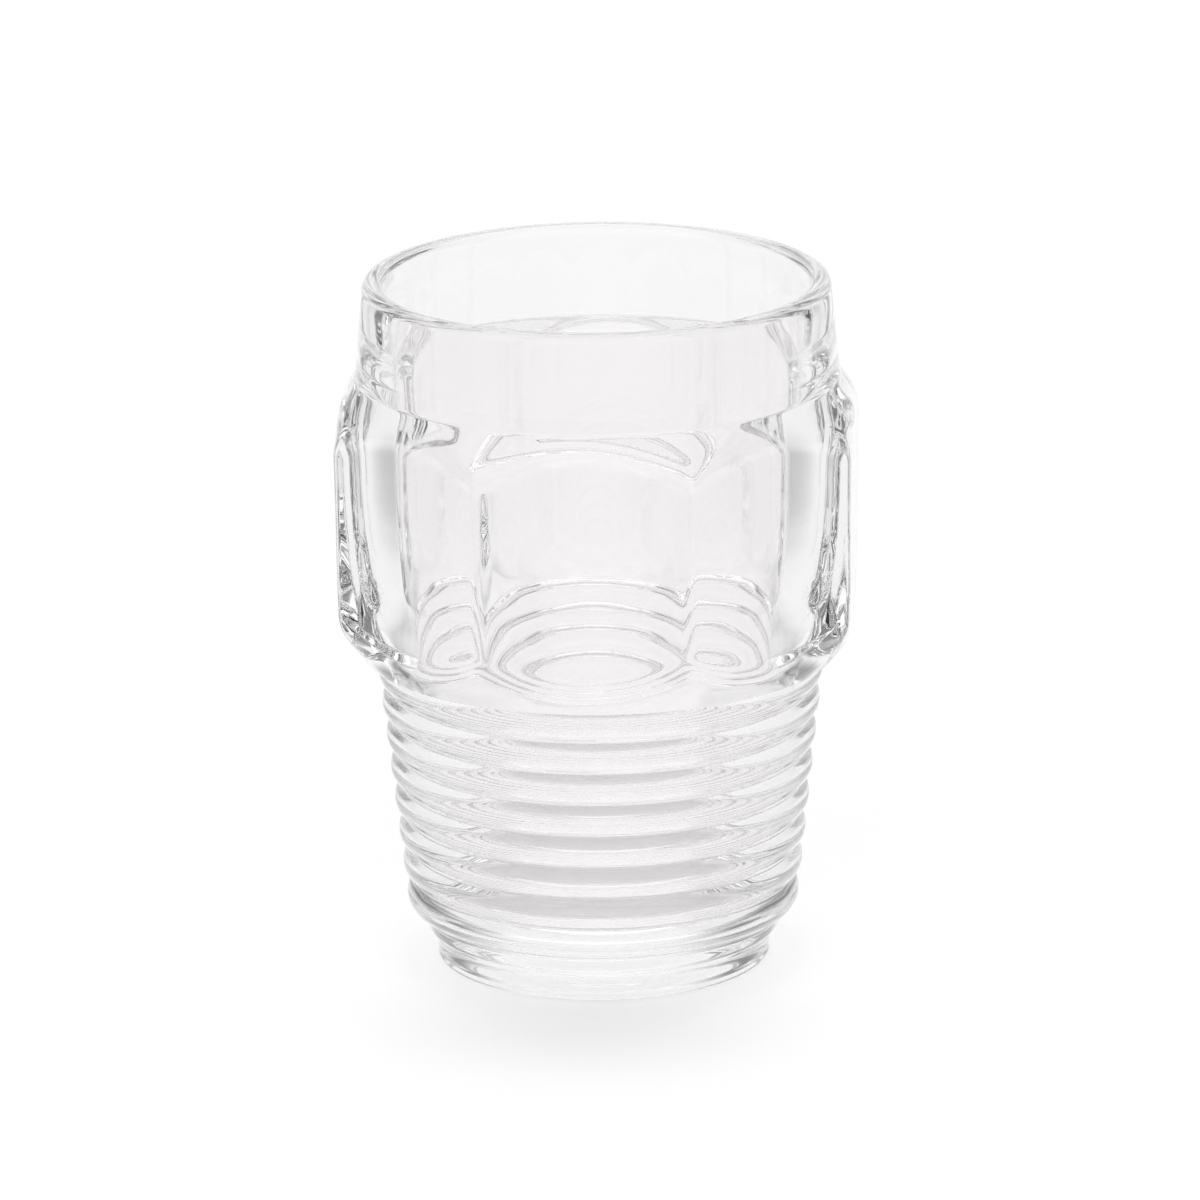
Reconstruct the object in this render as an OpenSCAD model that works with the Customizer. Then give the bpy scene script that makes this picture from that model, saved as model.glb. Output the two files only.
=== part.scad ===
// Pressed-glass juice tumbler, shaped as a machine nut on a ringed shank

/* [Mouth] */
// Diameter over the lip
mouth_d = 73; // [70:0.2:76]
// Wall thickness at the lip
lip_wall = 3.2; // [2.4:0.1:4]
// Height of the plain band, from the collar's ledge to the lip
band_h = 15.4; // [10:0.2:20]
// Outward slope of the band from the lip down to the ledge, in degrees
band_slope = 5.4; // [1:0.1:8]

/* [Collar] */
// Number of flats round the collar
flat_count = 8; // [6:1:12]
// Width across two opposite flats, half way up the collar
across_flats = 79.9; // [78:0.1:83]
// Width across two opposite turned corners, half way up the collar
across_corners = 85.9; // [84:0.1:89]
// Diameter of the collar's underside, where its lower chamfer starts
collar_foot_d = 74; // [71:0.1:76]
// Height of the collar, from its underside to the ledge
collar_h = 44.63; // [38:0.01:54]
// Slope of the upper chamfer from the horizontal, in degrees
upper_slope = 53; // [40:0.5:60]
// Slope of the lower chamfer from the horizontal, in degrees
lower_slope = 50.5; // [40:0.5:58]
// Draft of the flats and corners, narrowing downwards, in degrees
collar_draft = 0.7; // [0.2:0.1:2]

/* [Ring ribs] */
// Number of ring ribs, the top one half under the collar
rib_count = 8; // [4:1:10]
// Distance from one rib to the next
rib_pitch = 5.23; // [4.6:0.01:5.8]
// Radius of a rib's rounded crest
rib_round = 2.83; // [2.5:0.01:3.6]
// How far a rib's crest stands out of the core of the shank
rib_depth = 1.5; // [1.2:0.05:2]
// Diameter over the top rib
top_rib_d = 69.9; // [66:0.1:72]
// Diameter over the bottom rib
bottom_rib_d = 61.8; // [59:0.1:64]

/* [Foot] */
// Diameter of the foot where the shoulder meets it
foot_d = 52.6; // [50:0.1:55]
// Height of the foot below the shoulder
foot_h = 4.2; // [3:0.1:6]
// Inward slope of the foot's side towards the bottom, in degrees
foot_slope = 2.7; // [0.5:0.1:8]
// Bevel round the foot's bottom edge
foot_bevel = 0.7; // [0.3:0.1:1.5]
// Diameter over the rounded shoulder above the foot
shoulder_d = 57; // [55:0.1:60]
// Radius of the rounded shoulder
shoulder_round = 4.2; // [3.4:0.1:6]
// Height from the top of the foot to the shoulder's widest level
shoulder_rise = 3.7; // [3:0.05:5]
// Height from the shoulder's widest level to the bottom rib's crest
rib_rise = 2.85; // [2:0.05:3.5]
// Diameter of the hollow under the foot
punt_d = 42; // [34:0.5:45]
// Depth of the hollow under the foot
punt_depth = 1.8; // [0.8:0.1:3]

/* [Inside] */
// Wall thickness between the inside and the bottom rib's groove
shank_wall = 3.8; // [2.5:0.1:5]
// Wall thickness between the inside and the top rib's groove, at the neck
neck_wall = 4.35; // [2.5:0.05:5.5]
// Height of the neck, where the inside wall starts to widen, above the collar's underside
neck_rise = 1.8; // [0:0.1:6]
// Wall thickness between the inside and the flats, where the widening ends
collar_wall = 7.8; // [6:0.1:9]
// Height from the neck to the end of the widening
widening_h = 15; // [10:0.5:24]
// Thickness of the floor above the hollow
floor_t = 8.2; // [5:0.1:12]
// Radius of the round between the floor and the inside wall
floor_round = 3; // [2:0.5:12]

/* [Hidden] */
$fn = 180;
// How far every cut runs past the faces that it opens
overrun = 3;

// Radii of the foot, and of the centre of the shoulder's round
foot_top_r = foot_d / 2;
foot_low_r = foot_top_r - foot_h * tan(foot_slope);
shoulder_round_r = shoulder_d / 2 - shoulder_round;

// Heights of the levels, from the shoulder up
shoulder_z = foot_h + shoulder_rise;
bottom_rib_z = shoulder_z + rib_rise;
top_rib_z = bottom_rib_z + (rib_count - 1) * rib_pitch;
collar_z = top_rib_z + rib_pitch / 2;
ledge_z = collar_z + collar_h;
height = ledge_z + band_h;
lip_r = lip_wall / 2;
lip_z = height - lip_r;
collar_mid_z = (collar_z + ledge_z) / 2;
floor_z = punt_depth + floor_t;
neck_z = collar_z + neck_rise;
wide_z = neck_z + widening_h;

// Radii of the outside at those levels
mouth_r = mouth_d / 2;
ledge_r = mouth_r + (lip_z - ledge_z) * tan(band_slope);
corner_r = across_corners / 2;
collar_foot_r = collar_foot_d / 2;
bottom_crest_r = bottom_rib_d / 2;
top_crest_r = top_rib_d / 2;
bottom_core_r = bottom_crest_r - rib_depth;
top_core_r = top_crest_r - rib_depth;

// Radii of the inside
lip_inner_r = mouth_r - lip_wall;
wide_inner_r = across_flats / 2 - collar_wall;
neck_inner_r = top_core_r - neck_wall;
floor_inner_r = bottom_core_r - shank_wall;
// Lean of the inside wall of the shank from the vertical
shank_lean = atan((neck_inner_r - floor_inner_r) / (neck_z - floor_z));
// Centre of the round between floor and wall, touching both
floor_round_r = floor_inner_r + floor_round * (tan(shank_lean) - 1 / cos(shank_lean));
floor_round_z = floor_z + floor_round;

// Level at which the drafted corner meets a cone that passes through a given radius and level
function corner_level(cone_r, cone_z, outward_per_rise) =
    (corner_r - cone_r + cone_z * outward_per_rise - collar_mid_z * tan(collar_draft))
    / (outward_per_rise - tan(collar_draft));
function drafted_r(z) = corner_r + (z - collar_mid_z) * tan(collar_draft);
upper_corner_z = corner_level(ledge_r, ledge_z, -1 / tan(upper_slope));
lower_corner_z = corner_level(collar_foot_r, collar_z, 1 / tan(lower_slope));

// Foot, core of the shank, chamfered collar blank and band, as half of the outside
module outside_section() {
    polygon([
        [0, 0],
        [foot_low_r - foot_bevel, 0],
        [foot_low_r, foot_bevel],
        [foot_top_r, foot_h],
        [bottom_core_r, bottom_rib_z],
        [top_core_r, collar_z],
        [collar_foot_r, collar_z],
        [drafted_r(lower_corner_z), lower_corner_z],
        [drafted_r(upper_corner_z), upper_corner_z],
        [ledge_r, ledge_z],
        [mouth_r, lip_z],
        [0, lip_z]
    ]);
}

// Rounded crests of the ring ribs, along the taper of the shank
module rib_sections() {
    crest_step = (top_crest_r - bottom_crest_r) / (rib_count - 1);
    for (i = [0 : rib_count - 1])
        translate([bottom_crest_r + i * crest_step - rib_round, bottom_rib_z + i * rib_pitch])
            circle(r = rib_round);
}

// Rounded shoulder that carries the bottom rib down to the foot
module shoulder_section() {
    translate([shoulder_round_r, shoulder_z])
        circle(r = shoulder_round);
}

// Half of the space inside, open past the lip
module inside_section() {
    mouth_flare = overrun * (lip_inner_r - wide_inner_r) / (lip_z - wide_z);
    polygon([
        [0, floor_z],
        [floor_round_r, floor_z],
        [floor_round_r + floor_round * cos(shank_lean),
            floor_round_z - floor_round * sin(shank_lean)],
        [neck_inner_r, neck_z],
        [wide_inner_r, wide_z],
        [lip_inner_r, lip_z],
        [lip_inner_r + mouth_flare, lip_z + overrun],
        [0, lip_z + overrun]
    ]);
    translate([floor_round_r, floor_round_z])
        circle(r = floor_round);
}

// Half of the shallow hollow under the foot, a shallow dome
module punt_section() {
    dome_r = (pow(punt_d / 2, 2) + pow(punt_depth, 2)) / (2 * punt_depth);
    translate([0, punt_depth - dome_r])
        circle(r = dome_r);
}

// Half of the whole wall, with its full-round lip
module wall_section() {
    difference() {
        union() {
            outside_section();
            rib_sections();
            shoulder_section();
        }
        inside_section();
        punt_section();
    }
    translate([mouth_r - lip_r, lip_z])
        circle(r = lip_r);
}

// What one drafted flat takes off the collar
module flat_cut() {
    cut_w = across_corners;
    cut_t = across_corners / 2;
    translate([across_flats / 2, 0, collar_mid_z])
        rotate([0, collar_draft, 0])
            translate([0, -cut_w / 2, -collar_h / 2 - overrun])
                cube([cut_t, cut_w, collar_h + 2 * overrun]);
}

// The glass in one pressed piece
module tumbler() {
    color([0.87, 0.91, 0.93, 0.45])
        difference() {
            rotate_extrude() wall_section();
            for (i = [0 : flat_count - 1])
                rotate([0, 0, i * 360 / flat_count]) flat_cut();
        }
}

tumbler();
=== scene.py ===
import math

import bpy
import numpy as np
from mathutils import Matrix, Vector


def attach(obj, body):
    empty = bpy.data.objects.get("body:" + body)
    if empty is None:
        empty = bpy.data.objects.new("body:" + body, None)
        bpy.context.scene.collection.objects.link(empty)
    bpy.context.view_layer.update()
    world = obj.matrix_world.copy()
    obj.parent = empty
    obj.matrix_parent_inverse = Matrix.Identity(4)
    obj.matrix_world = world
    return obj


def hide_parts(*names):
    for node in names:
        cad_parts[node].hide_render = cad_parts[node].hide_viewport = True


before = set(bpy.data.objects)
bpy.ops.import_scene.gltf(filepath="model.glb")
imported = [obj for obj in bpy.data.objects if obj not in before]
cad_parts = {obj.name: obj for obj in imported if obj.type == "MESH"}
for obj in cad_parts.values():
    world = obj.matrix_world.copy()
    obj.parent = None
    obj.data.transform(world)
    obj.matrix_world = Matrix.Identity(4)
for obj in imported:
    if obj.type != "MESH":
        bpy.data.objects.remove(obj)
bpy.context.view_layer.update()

# Sizes of the glass in millimetres, close to those of the solid
MM = 0.001
HEIGHT = 110.0
MOUTH_R = 36.5
LIP_R = 1.6
LEDGE_R = 37.8
LEDGE_Z = 94.6
UPPER_SLOPE = math.radians(53.0)
LOWER_SLOPE = math.radians(50.5)
COLLAR_MID_Z = 72.2
COLLAR_DRAFT = math.tan(math.radians(0.7))
FLAT_COUNT = 8
FLAT_R = 39.95
BLANK_R = 45.5
CORNER_ROUND = 2.6
EDGE_BLEND = 2.2
COLLAR_FOOT_R = 37.0
RIB_COUNT = 8
RIB_PITCH = 5.227
RIB_ROUND = 2.83
RIB_FLANK = math.radians(62.0)
UNDER_ROUND = 2.83
BOTTOM_RIB_Z = 10.76
BOTTOM_RIB_R = 30.9
TOP_RIB_R = 34.93
GROOVE_BLEND = 0.2
SHOULDER_R = 28.5
FOOT_TOP_R = 26.3
FOOT_LOW_R = 26.1
FOOT_H = 3.9
FOOT_ROUND = 0.7
RING_CROWN = 0.35
RING_R = 24.4
PUNT_R = 21.0
PUNT_DEPTH = 1.8
FLOOR_Z = 10.0
FLOOR_ROUND = 3.0
FLOOR_INNER_R = 25.6
NECK_INNER_R = 29.1
NECK_Z = 51.75
WIDE_INNER_R = 32.15
WIDE_Z = 67.2
LIP_INNER_R = MOUTH_R - 2 * LIP_R
WIDE_BEND = 105.0
NECK_BEND = 60.0

# Small rounds and the short runs between them, in millimetres
PUNT_ROUND = 0.8
RING_ROUND = 6.0
FOOT_TOP_ROUND = 0.5
SHOULDER_ROUND = 2.0
SHOULDER_LOW_OUT = 1.4
SHOULDER_LOW_UP = 1.5
SHOULDER_HIGH_IN = 0.2
SHOULDER_HIGH_UP = 3.2
UNDER_GAP = 0.1
JOIN_DROP = 0.3
JOIN_OUT = 0.4
JOIN_GAP = 0.1
JOIN_ROUND = 0.3
COLLAR_FOOT_ROUND = 0.5
LEDGE_ROUND = 0.8
LEDGE_RUN = 1.5

# Longest steps along the wall, in millimetres
FOOT_STEP = 0.9
EDGE_STEP = 0.6
FLAT_STEP = 4.0
BAND_STEP = 3.0
INSIDE_STEP = 2.2

# Outside this radius the wall belongs to the collar, which the flats cut
COLLAR_FROM_R = 34.0
# Steps in angle round the axis for each flat, and how much closer they stand at its corners
STEPS_PER_FLAT = 34
CORNER_CROWDING = 0.6

# Looks of the glass
GLASS_COLOUR = (0.944, 0.935, 0.939, 1)
GLASS_IOR = 1.52
GLASS_TINT = (0.960, 0.9615, 0.964, 1)
TINT_DENSITY = 20.0
WAVES_PER_METRE = 90.0
WAVE_DEPTH = 0.00002

# Derived levels
TOP_RIB_Z = BOTTOM_RIB_Z + (RIB_COUNT - 1) * RIB_PITCH
COLLAR_Z = TOP_RIB_Z + RIB_PITCH / 2
CREST_BEND = RIB_ROUND * math.sin(RIB_FLANK)
UNDER_TURN = math.acos(1 - (BOTTOM_RIB_R - SHOULDER_R - UNDER_GAP) / UNDER_ROUND)
LIP_Z = HEIGHT - LIP_R
SECTOR = 2 * math.pi / FLAT_COUNT


def rounded(corners, step):
    """A path in (radius, height): each corner rounded by its third number, long runs cut to the step."""
    path = []
    for i, (r, z, fillet) in enumerate(corners):
        here = np.array([r, z])
        if fillet == 0 or i in (0, len(corners) - 1):
            path.append(here)
            continue
        back = np.array(corners[i - 1][:2]) - here
        ahead = np.array(corners[i + 1][:2]) - here
        back /= np.linalg.norm(back)
        ahead /= np.linalg.norm(ahead)
        half = math.acos(np.clip(back @ ahead, -1, 1)) / 2
        middle = (back + ahead) / np.linalg.norm(back + ahead)
        centre = here + middle * fillet / math.sin(half)
        reach = fillet / math.tan(half)
        start = here + back * reach - centre
        turn = math.pi - 2 * half
        count = max(3, math.ceil(turn / math.radians(12)))
        side = here + ahead * reach - centre
        for k in range(count + 1):
            t = k / count
            arc = math.sin((1 - t) * turn) * start + math.sin(t * turn) * side
            path.append(centre + arc / math.sin(turn))
    fine = [path[0]]
    for a, b in zip(path, path[1:]):
        count = max(1, math.ceil(np.linalg.norm(b - a) / step))
        fine += [a + (b - a) * k / count for k in range(1, count + 1)]
    return fine


def rib_radius(z):
    """Outside radius of the shank at a height: rounded crests, straight flanks, softened grooves."""
    radii = []
    for i in range(RIB_COUNT):
        crest = BOTTOM_RIB_R + (TOP_RIB_R - BOTTOM_RIB_R) * i / (RIB_COUNT - 1)
        off = z - (BOTTOM_RIB_Z + i * RIB_PITCH)
        if i == 0 and off < 0:
            radii.append(crest - UNDER_ROUND + math.sqrt(UNDER_ROUND ** 2 - off ** 2))
        elif abs(off) < RIB_PITCH:
            bend = min(abs(off), CREST_BEND)
            depth = RIB_ROUND - math.sqrt(RIB_ROUND ** 2 - bend ** 2)
            radii.append(crest - depth - (abs(off) - bend) * math.tan(RIB_FLANK))
    radii.sort()
    top = radii[-1]
    if len(radii) > 1:
        near = max(GROOVE_BLEND - (top - radii[-2]), 0) / GROOVE_BLEND
        top += near * near * GROOVE_BLEND / 4
    return top


def shank_path():
    """From the bottom rib's underside up to the collar, closer where a crest or a groove turns."""
    half = RIB_PITCH / 2
    groove = GROOVE_BLEND / (2 * math.tan(RIB_FLANK))
    crest = [CREST_BEND * share for share in (0.12, 0.36, 0.6, 0.84)]
    flank_end = half - 1.3 * groove
    flank = [CREST_BEND, (CREST_BEND + flank_end) / 2, flank_end]
    valley = [half - groove * share for share in (1.0, 0.5)]
    path = []
    for i in range(RIB_COUNT):
        high = crest if i == RIB_COUNT - 1 else crest + flank + valley
        if i == 0:
            low = [-UNDER_ROUND * math.sin(t) for t in np.linspace(UNDER_TURN, 0.1, 9)]
        else:
            low = [-half] + [-off for off in reversed(crest + flank + valley)]
        for off in low + high:
            z = BOTTOM_RIB_Z + i * RIB_PITCH + off
            path.append(np.array([rib_radius(z), z]))
    return path


def section():
    """The whole wall, from the axis under the foot, round the lip, to the axis on the floor inside."""
    dome = (PUNT_R ** 2 + PUNT_DEPTH ** 2) / (2 * PUNT_DEPTH)
    punt = [(r, PUNT_DEPTH - dome + math.sqrt(dome ** 2 - r ** 2)) for r in np.linspace(0, PUNT_R, 9)]
    path = [np.array(p) for p in punt[:-1]]
    path += rounded([
        (*punt[-2], 0),
        (PUNT_R, RING_CROWN, PUNT_ROUND),
        (RING_R, 0, RING_ROUND),
        (FOOT_LOW_R, RING_CROWN, FOOT_ROUND),
        (FOOT_TOP_R, FOOT_H, FOOT_TOP_ROUND),
        (FOOT_TOP_R + SHOULDER_LOW_OUT, FOOT_H + SHOULDER_LOW_UP, SHOULDER_ROUND),
        (SHOULDER_R - SHOULDER_HIGH_IN, FOOT_H + SHOULDER_HIGH_UP, SHOULDER_ROUND),
        (SHOULDER_R, BOTTOM_RIB_Z - UNDER_ROUND * math.sin(UNDER_TURN) - UNDER_GAP, 0),
    ], FOOT_STEP)[1:]
    path += shank_path()
    upper_corner_z = LEDGE_Z - (BLANK_R - LEDGE_R) * math.tan(UPPER_SLOPE)
    lower_corner_z = COLLAR_Z + (BLANK_R - COLLAR_FOOT_R) * math.tan(LOWER_SLOPE)
    low_corner = (BLANK_R + (lower_corner_z - COLLAR_MID_Z) * COLLAR_DRAFT, lower_corner_z, 0)
    high_corner = (BLANK_R + (upper_corner_z - COLLAR_MID_Z) * COLLAR_DRAFT, upper_corner_z, 0)
    band_lean = (LEDGE_R - MOUTH_R) / (LIP_Z - LEDGE_Z)
    band_start = (LEDGE_R - LEDGE_RUN * band_lean, LEDGE_Z + LEDGE_RUN, 0)
    join_z = COLLAR_Z - JOIN_DROP
    join_r = rib_radius(join_z)
    path += rounded([
        (join_r, join_z, 0),
        (join_r + JOIN_OUT, COLLAR_Z - JOIN_GAP, JOIN_ROUND),
        (COLLAR_FOOT_R, COLLAR_Z, COLLAR_FOOT_ROUND),
        low_corner,
    ], EDGE_STEP)
    path += rounded([low_corner, high_corner], FLAT_STEP)[1:]
    path += rounded([high_corner, (LEDGE_R, LEDGE_Z, LEDGE_ROUND), band_start], EDGE_STEP)[1:]
    path += rounded([band_start, (MOUTH_R, LIP_Z, 0)], BAND_STEP)[1:]
    lip = [(MOUTH_R - LIP_R + LIP_R * math.cos(a), LIP_Z + LIP_R * math.sin(a))
           for a in np.linspace(0, math.pi, 15)]
    path += [np.array(p) for p in lip[1:]]
    path += rounded([
        (LIP_INNER_R, LIP_Z, 0),
        (WIDE_INNER_R, WIDE_Z, WIDE_BEND),
        (NECK_INNER_R, NECK_Z, NECK_BEND),
        (FLOOR_INNER_R, FLOOR_Z, FLOOR_ROUND),
        (0, FLOOR_Z, 0),
    ], INSIDE_STEP)[1:]
    return np.array(path)


def angles():
    """Angles round the axis, closer together at the collar's corners."""
    u = np.arange(STEPS_PER_FLAT) / STEPS_PER_FLAT - 0.5
    local = SECTOR * (u + CORNER_CROWDING * np.sin(2 * np.pi * u) / (2 * np.pi))
    return np.concatenate([local + k * SECTOR for k in range(FLAT_COUNT)])


def flat_radius(theta, z):
    """Radius of the drafted eight-sided collar with rounded corners."""
    apothem = FLAT_R + (z - COLLAR_MID_Z) * COLLAR_DRAFT
    off = np.abs((theta + SECTOR / 2) % SECTOR - SECTOR / 2)
    from_corner = SECTOR / 2 - off
    centre = (apothem - CORNER_ROUND) / math.cos(SECTOR / 2)
    turn = np.arctan(CORNER_ROUND * math.sin(SECTOR / 2) / (centre + CORNER_ROUND * math.cos(SECTOR / 2)))
    arc = centre * np.cos(from_corner) + np.sqrt(
        np.maximum(CORNER_ROUND ** 2 - (centre * np.sin(from_corner)) ** 2, 0))
    return np.where(from_corner < turn, arc, apothem / np.cos(off))


def soft_min(a, b, blend):
    """The smaller of two radii, blended where they are close."""
    near = np.clip(0.5 + 0.5 * (a - b) / blend, 0, 1)
    return a * (1 - near) + b * near - blend * near * (1 - near)


def glass_mesh():
    """The section carried round the axis, with the flats cut into the collar."""
    path = section()
    theta = angles()
    inner = path[1:-1]
    r = inner[:, :1]
    z = inner[:, 1:]
    collar = soft_min(r, flat_radius(theta[None, :], z), EDGE_BLEND)
    radius = np.where(r > COLLAR_FROM_R, collar, r)
    n = len(theta)
    rows = len(inner)
    level = np.broadcast_to(z, radius.shape)
    grid = np.stack([radius * np.cos(theta), radius * np.sin(theta), level], -1)
    verts = np.concatenate([[[0, 0, path[0, 1]]], grid.reshape(-1, 3), [[0, 0, path[-1, 1]]]]) * MM
    i = np.arange(n)
    j = np.arange(rows - 1)[:, None]
    a = 1 + j * n + i
    b = 1 + j * n + (i + 1) % n
    quads = np.stack([a, b, b + n, a + n], -1).reshape(-1, 4)
    last = 1 + (rows - 1) * n
    top = last + n
    fans = [(0, 1 + (k + 1) % n, 1 + k) for k in range(n)]
    fans += [(last + k, last + (k + 1) % n, top) for k in range(n)]
    mesh = bpy.data.meshes.new("tumbler_glass")
    mesh.from_pydata(verts.tolist(), [], quads.tolist() + fans)
    mesh.polygons.foreach_set("use_smooth", [True] * len(mesh.polygons))
    mesh.update()
    return mesh


def glass_material():
    """Clear glass with a faint tint, slight waves from the mould and a fire-polished skin."""
    mat = bpy.data.materials.new("clear_glass")
    mat.use_nodes = True
    nodes = mat.node_tree.nodes
    links = mat.node_tree.links
    shader = nodes["Principled BSDF"]
    shader.inputs["Base Color"].default_value = GLASS_COLOUR
    shader.inputs["Roughness"].default_value = 0.0
    shader.inputs["IOR"].default_value = GLASS_IOR
    shader.inputs["Transmission Weight"].default_value = 1.0
    absorb = nodes.new("ShaderNodeVolumeAbsorption")
    absorb.inputs["Color"].default_value = GLASS_TINT
    absorb.inputs["Density"].default_value = TINT_DENSITY
    links.new(absorb.outputs[0], nodes["Material Output"].inputs["Volume"])
    place = nodes.new("ShaderNodeTexCoord")
    waves = nodes.new("ShaderNodeTexNoise")
    waves.inputs["Scale"].default_value = WAVES_PER_METRE
    waves.inputs["Detail"].default_value = 1.0
    links.new(place.outputs["Object"], waves.inputs["Vector"])
    bump = nodes.new("ShaderNodeBump")
    bump.inputs["Distance"].default_value = WAVE_DEPTH
    links.new(waves.outputs["Fac"], bump.inputs["Height"])
    links.new(bump.outputs["Normal"], shader.inputs["Normal"])
    return mat


glass = bpy.data.objects.new("tumbler_glass", glass_mesh())
bpy.context.scene.collection.objects.link(glass)
glass.data.materials.append(glass_material())
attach(glass, "root")
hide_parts("tumbler")

# Floor, white by its own glow and by the light that falls on it, so that it keeps a soft shadow; its glow
# and colour also hold painted shade under the glass, a painted shadow in front of the foot and painted
# shade towards the sides
FLOOR_HALF = 4.0
FLOOR_DROP = 0.0001
FLOOR_COLOUR = 0.5
FLOOR_GLOW = 0.525
# Painted shade under the glass: the floor glows less beneath the foot
UNDER_PAINTED_SHADE_GLOW = 0.3
# Painted light falloff: the floor is white in a path in front of and behind the glass, greyer at the
# sides as painted shade where light falls off, and white again far away
PATH_HALF_W = 0.1
PATH_SPREAD = 0.12
PATH_FADE = 0.2
SIDE_PAINTED_SHADE_SHARE = 0.58
FAR_START = 0.3
FAR_END = 0.8
# A painted shadow in front of the foot: the floor's glow dips there
SHADOW_Y = -0.03
SHADOW_R = 0.042
SHADOW_SHARE = 0.72

floor_mesh = bpy.data.meshes.new("floor")
floor_corners = [(-FLOOR_HALF, -FLOOR_HALF, 0), (FLOOR_HALF, -FLOOR_HALF, 0),
                 (FLOOR_HALF, FLOOR_HALF, 0), (-FLOOR_HALF, FLOOR_HALF, 0)]
floor_mesh.from_pydata(floor_corners, [], [(0, 1, 2, 3)])
floor = bpy.data.objects.new("floor", floor_mesh)
bpy.context.scene.collection.objects.link(floor)
# The floor's material carries painted shade and a painted shadow in its glow and colour
floor_mat = bpy.data.materials.new("floor_white_painted_shade")
floor_mat.use_nodes = True
floor_nodes = floor_mat.node_tree.nodes
floor_links = floor_mat.node_tree.links
floor_shader = floor_nodes["Principled BSDF"]
floor_shader.inputs["Roughness"].default_value = 1.0
floor_shader.inputs["Specular IOR Level"].default_value = 0.0
floor_shader.inputs["Emission Color"].default_value = (1, 1, 1, 1)


def floor_slope(value, low, high, at_low, at_high, kind="SMOOTHSTEP"):
    """A number that goes from at_low to at_high while the value goes from low to high."""
    node = floor_nodes.new("ShaderNodeMapRange")
    node.interpolation_type = kind
    node.inputs["From Min"].default_value = low
    node.inputs["From Max"].default_value = high
    node.inputs["To Min"].default_value = at_low
    node.inputs["To Max"].default_value = at_high
    floor_links.new(value, node.inputs["Value"])
    return node


def floor_product(first, second):
    """Two numbers of the floor multiplied."""
    node = floor_nodes.new("ShaderNodeMath")
    node.operation = "MULTIPLY"
    floor_links.new(first, node.inputs[0])
    floor_links.new(second, node.inputs[1])
    return node.outputs[0]


place = floor_nodes.new("ShaderNodeTexCoord")
apart = floor_nodes.new("ShaderNodeVectorMath")
apart.operation = "LENGTH"
floor_links.new(place.outputs["Object"], apart.inputs[0])
from_axis = apart.outputs["Value"]
# The floor's glow drops to the under value beneath the foot: painted shade under the glass
glow = floor_slope(from_axis, PUNT_R * MM, FOOT_LOW_R * MM, UNDER_PAINTED_SHADE_GLOW, FLOOR_GLOW, "LINEAR")

# Painted shade: the floor's colour and glow grey towards the sides, standing in for light that falls off,
# and turn white again far away
axes = floor_nodes.new("ShaderNodeSeparateXYZ")
floor_links.new(place.outputs["Object"], axes.inputs[0])
across = floor_nodes.new("ShaderNodeMath")
across.operation = "ABSOLUTE"
floor_links.new(axes.outputs["X"], across.inputs[0])
beyond = floor_nodes.new("ShaderNodeMath")
beyond.operation = "MULTIPLY_ADD"
beyond.inputs[1].default_value = -PATH_SPREAD
floor_links.new(axes.outputs["Y"], beyond.inputs[0])
floor_links.new(across.outputs[0], beyond.inputs[2])
painted_side_falloff = floor_slope(beyond.outputs[0], PATH_HALF_W, PATH_HALF_W + PATH_FADE, 1.0, SIDE_PAINTED_SHADE_SHARE)
share = floor_slope(from_axis, FAR_START, FAR_END, SIDE_PAINTED_SHADE_SHARE, 1.0)
floor_links.new(painted_side_falloff.outputs["Result"], share.inputs["To Min"])

# Painted shadow: the glow is dimmed round a point in front of the foot
from_shadow = floor_nodes.new("ShaderNodeVectorMath")
from_shadow.operation = "DISTANCE"
from_shadow.inputs[1].default_value = (0, SHADOW_Y, 0)
floor_links.new(place.outputs["Object"], from_shadow.inputs[0])
painted_shadow_dip = floor_slope(from_shadow.outputs["Value"], 0.0, SHADOW_R, SHADOW_SHARE, 1.0)

# The floor's glow with its painted shade, painted shadow and painted side falloff
shaded = floor_product(glow.outputs["Result"], painted_shadow_dip.outputs["Result"])
lit = floor_product(shaded, share.outputs["Result"])
floor_links.new(lit, floor_shader.inputs["Emission Strength"])
# The base colour carries the same painted falloff of light to the sides
floor_colour_with_painted_falloff = floor_nodes.new("ShaderNodeMath")
floor_colour_with_painted_falloff.operation = "MULTIPLY"
floor_colour_with_painted_falloff.inputs[1].default_value = FLOOR_COLOUR
floor_links.new(share.outputs["Result"], floor_colour_with_painted_falloff.inputs[0])
floor_links.new(floor_colour_with_painted_falloff.outputs[0], floor_shader.inputs["Base Color"])
floor.data.materials.append(floor_mat)
floor.location.z = -FLOOR_DROP

# World: a lit back and front, and between them on each side a dark gap above the horizon
# Each level is a height of the direction, from 0 at the horizon to 1 overhead, and a brightness
BACK_LEVELS = [(0.0, 1.0), (1.0, 0.7), (0.3, 1.0), (0.5, 0.8), (0.65, 0.4), (0.9, 0.4)]
SIDE_LEVELS = [(0.0, 1.0), (1.0, 0.7), (0.05, 0.8), (0.1, 0.28), (0.2, 0.18), (0.45, 0.24),
               (0.65, 0.5), (0.85, 1.1)]
FRONT_LEVELS = [(0.0, 1.1), (1.0, 0.9), (0.15, 1.45), (0.6, 1.4)]
BACK_EDGE = (0.74, 0.98)
FRONT_EDGE = (-0.35, -0.65)
world = bpy.data.worlds.new("studio")
bpy.context.scene.world = world
world.use_nodes = True
room_nodes = world.node_tree.nodes
room_links = world.node_tree.links
studio = room_nodes["Background"]


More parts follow.
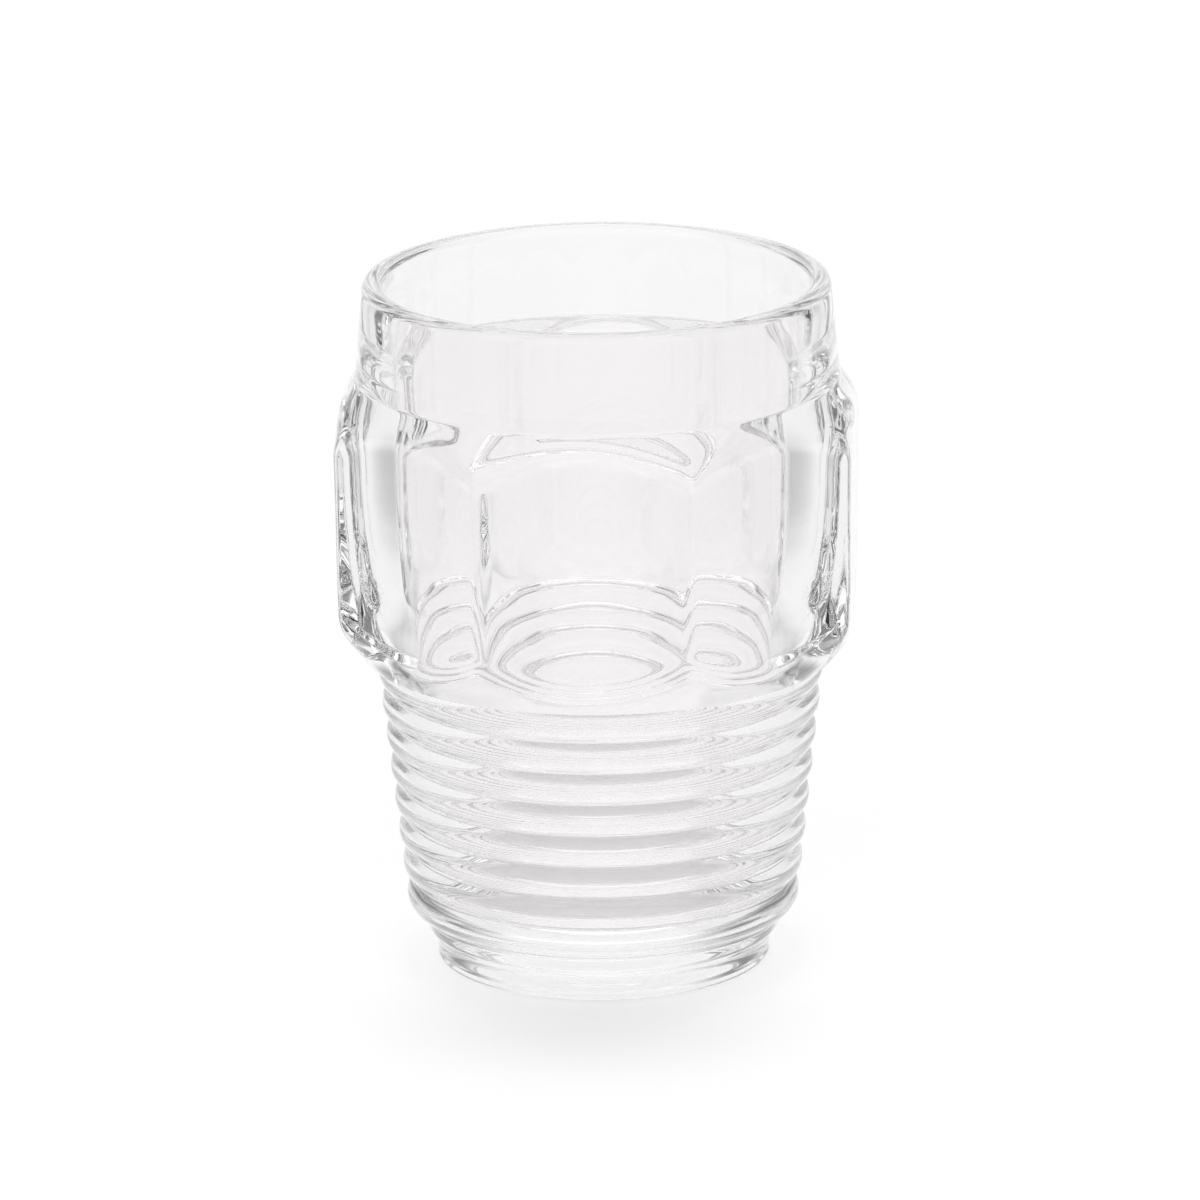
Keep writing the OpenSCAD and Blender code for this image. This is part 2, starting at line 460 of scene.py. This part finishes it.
def level_ramp(levels):
    """Brightness by the height of the direction."""
    ramp = room_nodes.new("ShaderNodeValToRGB")
    elements = ramp.color_ramp.elements
    for i, (position, value) in enumerate(levels):
        element = elements[i] if i < 2 else elements.new(position)
        element.position = position
        element.color = (value, value, value, 1)
    room_links.new(split.outputs["Z"], ramp.inputs[0])
    return ramp.outputs[0]


def room_part(edge, inside, outside):
    """One brightness past an edge in the direction round the axis, and another before it."""
    step = room_nodes.new("ShaderNodeMapRange")
    step.interpolation_type = "SMOOTHSTEP"
    step.inputs["From Min"].default_value = edge[0]
    step.inputs["From Max"].default_value = edge[1]
    room_links.new(backward.outputs["Y"], step.inputs["Value"])
    mix = room_nodes.new("ShaderNodeMix")
    mix.data_type = "RGBA"
    room_links.new(step.outputs["Result"], mix.inputs["Factor"])
    room_links.new(outside, mix.inputs[6])
    room_links.new(inside, mix.inputs[7])
    return mix.outputs[2]


coord = room_nodes.new("ShaderNodeTexCoord")
split = room_nodes.new("ShaderNodeSeparateXYZ")
room_links.new(coord.outputs["Generated"], split.inputs[0])
level = room_nodes.new("ShaderNodeVectorMath")
level.operation = "MULTIPLY"
level.inputs[1].default_value = (1, 1, 0)
room_links.new(coord.outputs["Generated"], level.inputs[0])
unit = room_nodes.new("ShaderNodeVectorMath")
unit.operation = "NORMALIZE"
room_links.new(level.outputs[0], unit.inputs[0])
backward = room_nodes.new("ShaderNodeSeparateXYZ")
room_links.new(unit.outputs[0], backward.inputs[0])
sides = room_part(FRONT_EDGE, level_ramp(FRONT_LEVELS), level_ramp(SIDE_LEVELS))
room = room_part(BACK_EDGE, level_ramp(BACK_LEVELS), sides)
room_links.new(room, studio.inputs["Color"])

# Lamp above and behind the glass, so that its shadow falls forwards
LAMP_STRENGTH = 0.6
LAMP_SPREAD = math.radians(60)
LAMP_TILT = math.radians(-30)
lamp_data = bpy.data.lights.new("sun", "SUN")
lamp_data.energy = LAMP_STRENGTH
lamp_data.angle = LAMP_SPREAD
lamp = bpy.data.objects.new("sun", lamp_data)
lamp.rotation_euler = (LAMP_TILT, 0, 0)
bpy.context.scene.collection.objects.link(lamp)

# Camera
CAMERA_AZIMUTH = math.radians(3.6)
CAMERA_ELEVATION = math.radians(16.14)
CAMERA_DISTANCE = 1.525
CAMERA_AIM = Vector((0, 0, 0.0577))
CAMERA_ROLL = math.radians(-0.65)
PIXELS_PER_METRE = 6384.0
PHOTO_PIXELS = 1200
camera_data = bpy.data.cameras.new("camera")
camera_data.lens = camera_data.sensor_width * PIXELS_PER_METRE * CAMERA_DISTANCE / PHOTO_PIXELS
camera_data.clip_end = 50
camera = bpy.data.objects.new("camera", camera_data)
back = Vector((math.sin(CAMERA_AZIMUTH) * math.cos(CAMERA_ELEVATION),
               -math.cos(CAMERA_AZIMUTH) * math.cos(CAMERA_ELEVATION),
               math.sin(CAMERA_ELEVATION)))
turn = (-back).to_track_quat("-Z", "Y").to_matrix().to_4x4() @ Matrix.Rotation(CAMERA_ROLL, 4, "Z")
camera.matrix_world = Matrix.Translation(CAMERA_AIM + back * CAMERA_DISTANCE) @ turn
bpy.context.scene.collection.objects.link(camera)
bpy.context.scene.camera = camera

# Colour and the number of times light may bend in the glass
scene = bpy.context.scene
scene.view_settings.view_transform = "Standard"
scene.cycles.max_bounces = 32
scene.cycles.transmission_bounces = 32
scene.cycles.glossy_bounces = 16
scene.cycles.blur_glossy = 0.0
